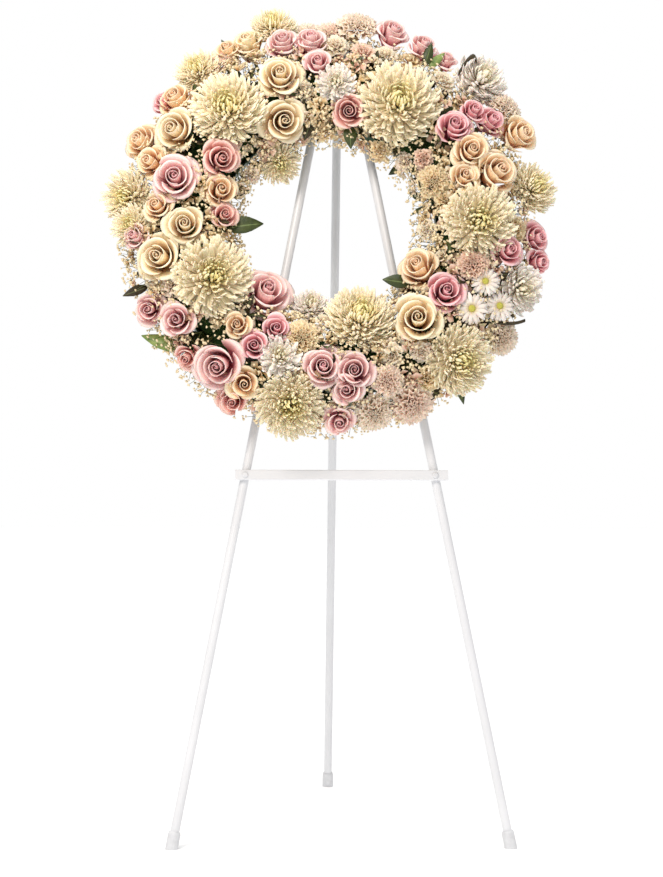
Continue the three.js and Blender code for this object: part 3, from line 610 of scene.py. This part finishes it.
# ---------------------------------------------------------------- planting
# each CAD flower: node, kind, look, slot, and its heads as (x, y, width) on the ring's face
MUMS = "chrysanthemum_petal"
PLANTING = [
    ("chrysanthemum_1", "mum", "mum", MUMS, [(100, 175, 118)]),
    ("chrysanthemum_2", "broad_mum", "white", "white_petal", [(225, 230, 82)]),
    ("chrysanthemum_3", "mum", "mum", MUMS, [(300, 65, 76)]),
    ("chrysanthemum_4", "mum", "mum", MUMS, [(215, 0, 102)]),
    ("chrysanthemum_5", "broad_mum", "white", "white_petal", [(275, -90, 74)]),
    ("chrysanthemum_6", "mum", "mum", MUMS, [(185, -200, 96)]),
    ("chrysanthemum_7", "mum", "mum", MUMS, [(45, -140, 100)]),
    ("chrysanthemum_8", "mum", "mum", MUMS, [(-55, -265, 94)]),
    ("chrysanthemum_9", "mum", "mum", MUMS, [(-165, -85, 110)]),
    ("chrysanthemum_10", "mum", "mum", MUMS, [(-290, 45, 80)]),
    ("chrysanthemum_11", "mum", "mum", MUMS, [(-190, 240, 72)]),
    ("chrysanthemum_12", "mum", "mum", MUMS, [(-145, 165, 106)]),
    ("chrysanthemum_13", "mum", "mum", MUMS, [(-80, 310, 70)]),
    ("carnation_1", "carnation", "carnation", "white_petal", [(45, 315, 60)]),
    ("carnation_2", "carnation", "carnation", "white_petal", [(65, -275, 54)]),
    ("carnation_3", "carnation", "blush", "blush_petal", [(120, -260, 62)]),
    ("pink_rose_1", "rose", "salmon", "pink_petal", [(30, 165, 52)]),
    ("pink_rose_2", "rose", "deep", "pink_petal", [(180, 140, 54)]),
    ("pink_rose_3", "rose", "deep", "pink_petal", [(165, -105, 58)]),
    ("pink_rose_4", "rose", "pink", "pink_petal", [(-90, -100, 72)]),
    ("pink_rose_5", "rose", "pink", "pink_petal", [(-155, -210, 72)]),
    ("pink_rose_6", "rose", "pink", "pink_petal", [(-220, 60, 68)]),
    ("pink_rose_7", "rose", "salmon", "pink_petal", [(-155, 90, 58)]),
    ("cream_rose_1", "rose", "peach", "peach_petal", [(280, 145, 60)]),
    ("cream_rose_2", "rose", "peach", "peach_petal", [(240, 75, 66)]),
    ("cream_rose_3", "rose", "peach", "peach_petal", [(130, -65, 62)]),
    ("cream_rose_4", "rose", "cream", "cream_petal", [(125, -145, 70)]),
    ("cream_rose_5", "rose", "cream", "cream_petal", [(-240, -55, 68)]),
    ("cream_rose_6", "rose", "cream", "cream_petal", [(-205, -10, 58)]),
    ("cream_rose_7", "rose", "cream", "cream_petal", [(-220, 135, 62)]),
    ("cream_rose_8", "rose", "cream", "cream_petal", [(-65, 150, 66)]),
    ("cream_rose_9", "rose", "cream", "cream_petal", [(-70, 215, 62)]),
    ("cream_rose_10", "rose", "cream", "cream_petal", [(-115, 280, 58)]),
    ("pink_spray_1", "rose", "pink", "pink_petal", [(95, 300, 52), (140, 280, 48), (175, 260, 34)]),
    ("pink_spray_2", "rose", "deep", "pink_petal", [(210, 170, 40), (235, 160, 48)]),
    ("pink_spray_3", "rose", "deep", "pink_petal",
     [(300, -10, 48), (255, -40, 48), (305, -45, 38)]),
    ("pink_spray_4", "rose", "pink", "pink_petal",
     [(35, -220, 56), (-10, -215, 56), (25, -245, 48)]),
    ("pink_spray_5", "rose", "deep", "pink_petal", [(-75, -160, 42), (-105, -185, 46)]),
    ("pink_spray_6", "rose", "pink", "pink_petal", [(-215, -145, 50), (-255, -125, 46)]),
    ("pink_spray_7", "rose", "pink", "pink_petal",
     [(-65, 275, 52), (-25, 275, 52), (-15, 235, 46)]),
    ("peach_spray_1", "rose", "peach", "peach_petal", [(205, 105, 54), (195, 65, 46)]),
    ("peach_spray_2", "rose", "peach", "peach_petal", [(-130, -155, 40), (-120, -235, 48)]),
    ("peach_spray_3", "rose", "peach", "peach_petal",
     [(-270, 130, 54), (-220, 190, 58), (-255, 90, 46)]),
]
# smaller heads that fill between them, without a CAD solid of their own
FILLING = [
    ("side_rose_1", "rose", "peach", "peach_petal", (-155, 45, 50)),
    ("side_rose_2", "rose", "salmon", "pink_petal", (-150, 10, 40)),
    ("side_rose_3", "rose", "pink", "pink_petal", (-275, -20, 42)),
    ("side_rose_4", "rose", "peach", "peach_petal", (-245, 20, 44)),
    ("side_rose_5", "rose", "pink", "pink_petal", (15, -285, 45)),
    ("side_rose_6", "rose", "salmon", "pink_petal", (-135, -255, 48)),
    ("side_rose_7", "rose", "salmon", "pink_petal", (-200, -195, 40)),
    ("side_rose_8", "rose", "peach", "peach_petal", (-146, 270, 44)),
    ("side_rose_9", "rose", "deep", "pink_petal", (-238, 190, 40)),
    ("small_mum_1", "mum", "mum", MUMS, (-70, 100, 62)),
    ("small_mum_2", "broad_mum", "white", "white_petal", (-25, -115, 58)),
    ("small_mum_3", "broad_mum", "white", "white_petal", (-70, -200, 60)),
    ("small_mum_4", "broad_mum", "white", "white_petal", (10, 205, 56)),
    ("small_mum_5", "mum", "mum", MUMS, (-282, -2, 62)),
    ("daisy_1", "daisy", "daisy", "white_petal", (202, -128, 46)),
    ("daisy_2", "daisy", "daisy", "white_petal", (243, -120, 44)),
    ("daisy_3", "daisy", "daisy", "white_petal", (222, -88, 42)),
    ("side_carnation_4", "carnation", "carnation", "white_petal", (250, -160, 50)),
    ("side_carnation_5", "carnation", "blush", "blush_petal", (82, -232, 44)),
    ("side_carnation_6", "carnation", "blush_filler", "blush_petal", (205, -62, 44)),
    ("side_carnation_7", "carnation", "cream_filler", "cream_petal", (-40, -170, 48)),
    ("side_carnation_8", "carnation", "cream_filler", "cream_petal", (150, 60, 46)),
    ("side_carnation_9", "carnation", "carnation", "white_petal", (262, 190, 50)),
    ("side_carnation_1", "carnation", "carnation", "white_petal", (-27, 298, 50)),
    ("side_carnation_2", "carnation", "blush", "blush_petal", (6, 300, 48)),
    ("side_carnation_3", "carnation", "blush", "blush_petal", (-152, 258, 46)),
]
SHARES = {"mum": (0.66, 0.45), "broad_mum": (0.66, 0.45), "carnation": (0.6, 0.6),
          "rose": (0.62, 0.85), "daisy": (0.2, 0.3)}
PETAL_THICKNESS = {"mum": 0.016, "broad_mum": 0.018, "carnation": 0.02, "rose": 0.020,
                   "daisy": 0.02}
FULLNESS = {"mum": 1.12, "broad_mum": 1.14, "carnation": 1.15, "rose": 1.14, "daisy": 1.0}
BIG_ROSE = 50
STEM_RADIUS = 2.4
heads = []


def petals_for(kind, width):
    """Petals for one head of this kind and width, as a grid and its tints, of unit radius."""
    if kind == "mum":
        return mum_petals(rng, 500 if width > 90 else 280)
    if kind == "broad_mum":
        return mum_petals(rng, 150, breadth=2.1)
    if kind == "carnation":
        return carnation_petals(rng, 34)
    if kind == "daisy":
        return daisy_petals(rng)
    if width > BIG_ROSE:
        return rose_petals(rng, 16, rng.uniform(0.2, 1.0))
    return rose_petals(rng, 13, rng.uniform(0.0, 0.8), across=8, along=7)


def add_head(form, kind, x, y, width):
    """One flower head on its stem, facing out of the dome."""
    centre, facing = seat(x, y)
    facing = facing + rng.normal(0, 0.09, 3)
    facing /= np.linalg.norm(facing)
    grid, tint = petals_for(kind, width)
    place = (turned_to(facing, rng.uniform(0, math.tau)), width / 2 * FULLNESS[kind], centre)
    form.add_sheets(grid, PETAL_THICKNESS[kind], tint, place)
    front, back = SHARES[kind]
    heads.append((centre, facing, width / 2, front, back))
    if kind == "daisy":
        points, faces = button(0.24, 0.16)
        points = points * width / 2 @ place[0].T + centre + facing * width * 0.05
        form.add(points, faces, MID_TINT, 2)
    root = np.array([x, y, 0.0]) * CORE_RADIUS / math.hypot(x, y) + [0, 0, CORE_DEPTH]
    neck = centre - facing * width / 2 * back * 0.8
    root = neck + (root - neck) * 0.8
    add_stalks(form, neck[None], root[None], STEM_RADIUS, np.zeros((1, 3)), MID_TINT, 1, sides=8)


for name, kind, look, slot, spots in PLANTING:
    flower = Form()
    for x, y, width in spots:
        add_head(flower, kind, x, y, width)
    flower.make(name + "_bloom", [LOOKS[look], LOOKS["stalk"]], nodes=[name])
for name, kind, look, slot, (x, y, width) in FILLING:
    flower = Form()
    add_head(flower, kind, x, y, width)
    flower.make(name, [LOOKS[look], LOOKS["stalk"], LOOKS["daisy_heart"]])


# ---------------------------------------------------------------- leaves
def inside_heads(points, scale=1.0):
    """Which points lie inside some flower head, taken as a spheroid."""
    hit = np.zeros(len(points), bool)
    for centre, facing, radius, front, back in heads:
        gap = points - centre
        high = gap @ facing
        flat = np.sum(gap ** 2, axis=1) - high ** 2
        depth = np.where(high > 0, front, back) * radius * scale
        hit |= flat / (radius * scale) ** 2 + (high / depth) ** 2 < 1
    return hit


def dome_points(count, low, high, first=-92.0, last=98.0, sector=(0.0, math.tau)):
    """Chance places in the dome, at these shares of its size, evenly thick all over it."""
    drawn = count * 2
    around = rng.uniform(*sector, drawn)
    psi = np.radians(rng.uniform(first, last, drawn))
    share = rng.uniform(low, high, drawn)
    offset = np.where(psi > 0, DOME_OUT, DOME_IN) * np.sin(psi) * share
    reach = CORE_RADIUS + offset
    keep = np.nonzero(rng.random(drawn) < reach / (CORE_RADIUS + DOME_OUT))[0][:count]
    around, psi, share, reach = around[keep], psi[keep], share[keep], reach[keep]
    rise = DOME_RISE * np.cos(psi) * share
    points = np.column_stack([reach * np.cos(around), reach * np.sin(around), CORE_DEPTH + rise])
    facing = np.column_stack([np.cos(around) * np.sin(psi), np.sin(around) * np.sin(psi),
                              np.cos(psi)])
    return points, facing


def add_leaf(form, place, direction, up, length, width, look):
    """One leaf from its stalk's place along a direction, its face turned up."""
    x = direction / np.linalg.norm(direction)
    y = np.cross(up, x)
    y /= np.linalg.norm(y)
    turn = np.column_stack([x, y, np.cross(x, y)])
    grid, tint = leaf_sheet(length, width, rng.uniform(0.15, 0.45), rng.uniform(-0.1, 0.3))
    form.add_sheets(grid, 0.7, tint, (turn, 1.0, place), look)


def under_leaves():
    """Dark leaves low between the flowers, partly real foliage and partly a painted shade filling
    the gaps between them, and a fringe around each edge of the ring.
    """
    form = Form()
    points, facing = dome_points(300, 0.35, 0.70)
    for point, face in zip(points, facing):
        direction = face * 0.55 + rng.normal(0, 0.8, 3)
        up = face + rng.normal(0, 0.3, 3)
        long, wide = rng.uniform(26, 44), rng.uniform(12, 20)
        # three in five of these low leaves take the dark brown look, partly a painted shade between
        # the heads
        add_leaf(form, point, direction, up, long, wide, int(rng.random() < 0.6))
    for inner, outer, count, length in ((206, 232, 110, 60), (158, 172, 24, -30)):
        for around in np.linspace(0, math.tau, count, endpoint=False) + rng.normal(0, 0.03, count):
            out = np.array([math.cos(around), math.sin(around), 0.0])
            point = out * rng.uniform(inner, outer) + [0, 0, rng.uniform(4, 34)]
            direction = out * math.copysign(1, length) + rng.normal(0, 0.32, 3)
            size = abs(length) * rng.uniform(0.8, 1.1)
            up = np.array([0, 0, 1.0]) + rng.normal(0, 0.3, 3)
            add_leaf(form, point, direction, up, size, size * 0.46, int(rng.random() < 0.5))
    form.make("under_leaves", [LOOKS["leaf"], LOOKS["dark_leaf_and_shade"]])


under_leaves()

# single leaves that stand clear of the flowers: place, direction, length, width, look
ACCENT_LEAVES = [
    ((-146, -6, 60), (1.0, 0.22, 0.15), 52, 27, 0),
    ((-210, -180, 38), (-1.0, 0.42, 0.0), 62, 22, 2),
    ((180, -214, 42), (0.35, -1.0, 0.0), 44, 15, 0),
    ((118, -86, 64), (-1.0, 0.10, 0.1), 42, 21, 0),
    ((30, 150, 66), (0.1, -1.0, 0.1), 34, 20, 0),
    ((-26, 154, 66), (-0.3, -1.0, 0.1), 30, 16, 1),
    ((156, -226, 46), (-0.5, -1.0, 0.2), 34, 18, 1),
    ((146, 47, 64), (-0.6, 0.5, 0.5), 28, 16, 1),
    ((-258, -86, 38), (-0.9, -0.4, 0.1), 40, 15, 1),
    ((142, 246, 48), (0.3, 1.0, 0.2), 38, 15, 0),
    ((148, 244, 46), (0.8, 0.8, 0.1), 34, 13, 2),
    ((-132, 248, 40), (-0.6, 1.0, 0.1), 46, 14, 0),
]
# curled and forked dark twigs: start, end, bulge, radius
TWIGS = [
    ((192, 236, 50), (219, 236, 50), (8, 26, 2), 3.8),
    ((250, -94, 58), (265, -133, 56), (-3, 0, 2), 2.4),
    ((240, -140, 56), (282, -136, 50), (0, -4, 2), 2.4),
]


def accents():
    """The few leaves and twigs that stand out at the edges of the ring."""
    form = Form()
    for place, direction, length, width, look in ACCENT_LEAVES:
        up = np.array([0.1, 0.1, 1.0])
        add_leaf(form, np.array(place, float), np.array(direction), up, length, width, look)
    for start, end, bulge, radius in TWIGS:
        add_stalks(form, np.array([start], float), np.array([end], float), radius,
                   np.array([bulge], float), MID_TINT, 1, sides=8, steps=9)
    form.make("accent_leaves", [LOOKS["leaf"], LOOKS["dark_leaf_and_shade"], LOOKS["pale_leaf"]])


accents()


# ---------------------------------------------------------------- filler flowers
def filler_blossoms(name, look, count, small, large):
    """Small ruffled blossoms packed between the heads, in a few shapes, each turned its own way."""
    form = Form()
    shapes = [carnation_petals(rng, 8, across=4, along=3) for _ in range(5)]
    points, facing = dome_points(count * 5, 0.78, 0.98)
    free = ~inside_heads(points, 0.78)
    points, facing = points[free][:count], facing[free][:count]
    facing = facing + rng.normal(0, 0.25, facing.shape)
    for k, (grid, tint) in enumerate(shapes):
        mine = slice(k, None, len(shapes))
        shape, faces = thin_sheets(grid, 0.03)
        flat = np.broadcast_to(tint, grid.shape).reshape(len(grid), -1, 3)
        tints = np.concatenate([flat, flat], axis=1).reshape(-1, 3)
        turns = turns_to(facing[mine], rng.uniform(0, math.tau, len(facing[mine])))
        sizes = rng.uniform(small, large, len(turns)) / 2
        add_copies(form, shape, faces, turns, sizes, points[mine], np.tile(tints, (len(turns), 1)))
    form.make(name, [LOOKS[look]])


def rim_flowers(name, reaches, count, widths):
    """Small ruffled heads around an edge of the ring, wherever the edge is still bare."""
    form = Form()
    looks = ["cream_filler", "blush_filler", "white_filler", "carnation"]
    for step in range(count):
        around = (step + rng.uniform(-0.3, 0.3)) * math.tau / count
        reach = rng.uniform(*reaches)
        width = rng.uniform(*widths)
        centre, facing = seat(reach * math.cos(around), reach * math.sin(around))
        centre = centre - np.array([0, 0, rng.uniform(0, 12)])
        near = min(np.linalg.norm((centre - other[0])[:2]) - 0.85 * other[2] for other in heads)
        if near < width * 0.22:
            continue
        facing = facing + rng.normal(0, 0.15, 3)
        grid, tint = carnation_petals(rng, 20, across=7, along=4)
        place = (turned_to(facing, rng.uniform(0, math.tau)), width / 2, centre)
        form.add_sheets(grid, 0.025, tint, place, int(rng.integers(len(looks))))
        heads.append((centre, facing / np.linalg.norm(facing), width / 2, 0.5, 0.5))
    form.make(name, [LOOKS[look] for look in looks])


rim_flowers("outer_rim_flowers", (264, 292), 54, (38, 50))
rim_flowers("inner_rim_flowers", (136, 150), 20, (30, 38))
rim_flowers("face_flowers", (165, 250), 60, (32, 42))
filler_blossoms("cream_filler", "cream_filler", 190, 28, 42)
filler_blossoms("blush_filler", "blush_filler", 100, 28, 40)
filler_blossoms("white_filler", "white_filler", 90, 26, 38)

BREATH_SECTORS = 4
BREATH_FLORETS = 1000
BREATH_STALK = 0.35


def babys_breath():
    """Sprays of small double florets on thin branching stalks, wherever no flower head stands."""
    shape, shape_faces = floret()
    for sector in range(BREATH_SECTORS):
        form = Form()
        span = (sector * math.tau / BREATH_SECTORS, (sector + 1) * math.tau / BREATH_SECTORS)
        points, facing = dome_points(6000, 0.84, 1.10, sector=span)
        free = ~inside_heads(points, 0.93)
        points, facing = points[free][:BREATH_FLORETS], facing[free][:BREATH_FLORETS]
        count = len(points)
        facing = facing + rng.normal(0, 0.35, (count, 3))
        turns = turns_to(facing, rng.uniform(0, math.tau, count))
        sizes = rng.uniform(2.0, 3.6, count)
        tint = np.column_stack([np.ones(count), np.ones(count), rng.random(count)])
        tints = np.repeat(tint, len(shape), axis=0)
        add_copies(form, shape, shape_faces, turns, sizes, points, tints)
        held = slice(None, None, 2)
        roots = points - facing * rng.uniform(14, 26, count)[:, None] + rng.normal(0, 3, (count, 3))
        bend = rng.normal(0, 1.5, (count, 3))
        tops = points - facing * 1.2
        add_stalks(form, roots[held], tops[held], BREATH_STALK, bend[held], MID_TINT, 1,
                   sides=3, steps=3)
        form.make(f"babys_breath_{sector + 1}", [LOOKS["filler"], LOOKS["stalk"]],
                  nodes=["babys_breath"] if sector == 0 else ())


babys_breath()

# ---------------------------------------------------------------- carried-over solids
CAD_LOOKS = {
    "enamel": ["front_leg_left", "front_leg_right", "back_leg", "crossbar", "apex_bracket"],
    "zinc": ["hinge_pin"],
    "white_rivet": ["leg_rivet_left", "leg_rivet_right",
                    "crossbar_rivet_left", "crossbar_rivet_right"],
    "cap": ["foot_cap_left", "foot_cap_right", "foot_cap_back"],
    "foam": ["foam_ring"],
    "tray": ["ring_tray"],
    "wire": ["hanger_wire"],
}
for look, nodes in CAD_LOOKS.items():
    for node in nodes:
        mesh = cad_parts[node].data
        mesh.materials.clear()
        mesh.materials.append(LOOKS[look])

# ---------------------------------------------------------------- stage, light and camera
FLOOR_HALF = 12.0
TABLE_GLOW = 0.12
ROOM_LIGHT = 0.50
OVERHEAD_SPREAD = 36
OVERHEAD_STRENGTH = 1.7
KEY_SIZE = 0.8
KEY_POWER = 23
CAMERA_FROM_BASE = (-0.1112, -3.2957, 0.5540)
CAMERA_YAW = math.radians(2.071)
CAMERA_PITCH = math.radians(0.3245)
CAMERA_ROLL = math.radians(0.197)
LENS = 88.9


def make_floor():
    """A white table that glows a little by itself, under the feet."""
    mesh = bpy.data.meshes.new("floor")
    corners = [(x * FLOOR_HALF, y * FLOOR_HALF, 0)
               for x, y in ((-1, -1), (1, -1), (1, 1), (-1, 1))]
    mesh.from_pydata(corners, [], [(0, 1, 2, 3)])
    floor = bpy.data.objects.new("floor", mesh)
    bpy.context.collection.objects.link(floor)
    table = plain_look("white_light_table", (247, 247, 247), (250, 250, 250), 3.0, 0.9, 0.0001,
                       specular=0.1)
    shader = table.node_tree.nodes["Principled BSDF"]
    shader.inputs["Emission Color"].default_value = (1, 1, 1, 1)
    shader.inputs["Emission Strength"].default_value = TABLE_GLOW
    mesh.materials.append(table)


def area_light(name, place, target, size, power):
    data = bpy.data.lights.new(name, "AREA")
    data.shape = "DISK"
    data.size = size
    data.energy = power
    data.color = (1.0, 0.925, 0.85)
    light = bpy.data.objects.new(name, data)
    light.location = place
    light.rotation_euler = (Vector(target) - Vector(place)).to_track_quat("-Z", "Y").to_euler()
    bpy.context.collection.objects.link(light)


def sun_light(name, towards, spread, strength):
    data = bpy.data.lights.new(name, "SUN")
    data.angle = math.radians(spread)
    data.energy = strength
    light = bpy.data.objects.new(name, data)
    light.rotation_euler = Vector(towards).to_track_quat("Z", "Y").to_euler()
    bpy.context.collection.objects.link(light)


def make_world():
    """A white room: seen as pure white, but lighting the object at ROOM_LIGHT only."""
    world = bpy.data.worlds.new("white_studio")
    bpy.context.scene.world = world
    world.use_nodes = True
    tree = world.node_tree
    background = tree.nodes["Background"]
    background.inputs["Color"].default_value = (1, 1, 1, 1)
    background.inputs["Strength"].default_value = ROOM_LIGHT
    seen = tree.nodes.new("ShaderNodeBackground")
    seen.inputs["Color"].default_value = (1, 1, 1, 1)
    seen.inputs["Strength"].default_value = 1.0
    path = tree.nodes.new("ShaderNodeLightPath")
    mix = tree.nodes.new("ShaderNodeMixShader")
    tree.links.new(path.outputs["Is Camera Ray"], mix.inputs[0])
    tree.links.new(background.outputs[0], mix.inputs[1])
    tree.links.new(seen.outputs[0], mix.inputs[2])
    tree.links.new(mix.outputs[0], tree.nodes["World Output"].inputs["Surface"])


def make_camera():
    base = (Vector(CAD_BOX[0]) + Vector(CAD_BOX[1])) / 2
    base.z = CAD_BOX[0][2]
    data = bpy.data.cameras.new("camera")
    data.lens = LENS
    camera = bpy.data.objects.new("camera", data)
    bpy.context.collection.objects.link(camera)
    yaw, pitch = CAMERA_YAW, CAMERA_PITCH
    forward = Vector((math.sin(yaw) * math.cos(pitch), math.cos(yaw) * math.cos(pitch),
                      math.sin(pitch)))
    right = Vector((math.cos(yaw), -math.sin(yaw), 0))
    up = right.cross(forward)
    turned_right = right * math.cos(CAMERA_ROLL) + up * math.sin(CAMERA_ROLL)
    turned_up = turned_right.cross(forward)
    turn = Matrix((turned_right, turned_up, -forward)).transposed().to_4x4()
    camera.matrix_world = Matrix.Translation(base + Vector(CAMERA_FROM_BASE)) @ turn
    bpy.context.scene.camera = camera


make_floor()
make_world()
sun_light("overhead", (0.0, -0.08, 1.0), OVERHEAD_SPREAD, OVERHEAD_STRENGTH)
area_light("key", (-0.7, -1.55, 1.9), (0, -0.15, 0.87), KEY_SIZE, KEY_POWER)
make_camera()
bpy.context.scene.view_settings.view_transform = "Standard"
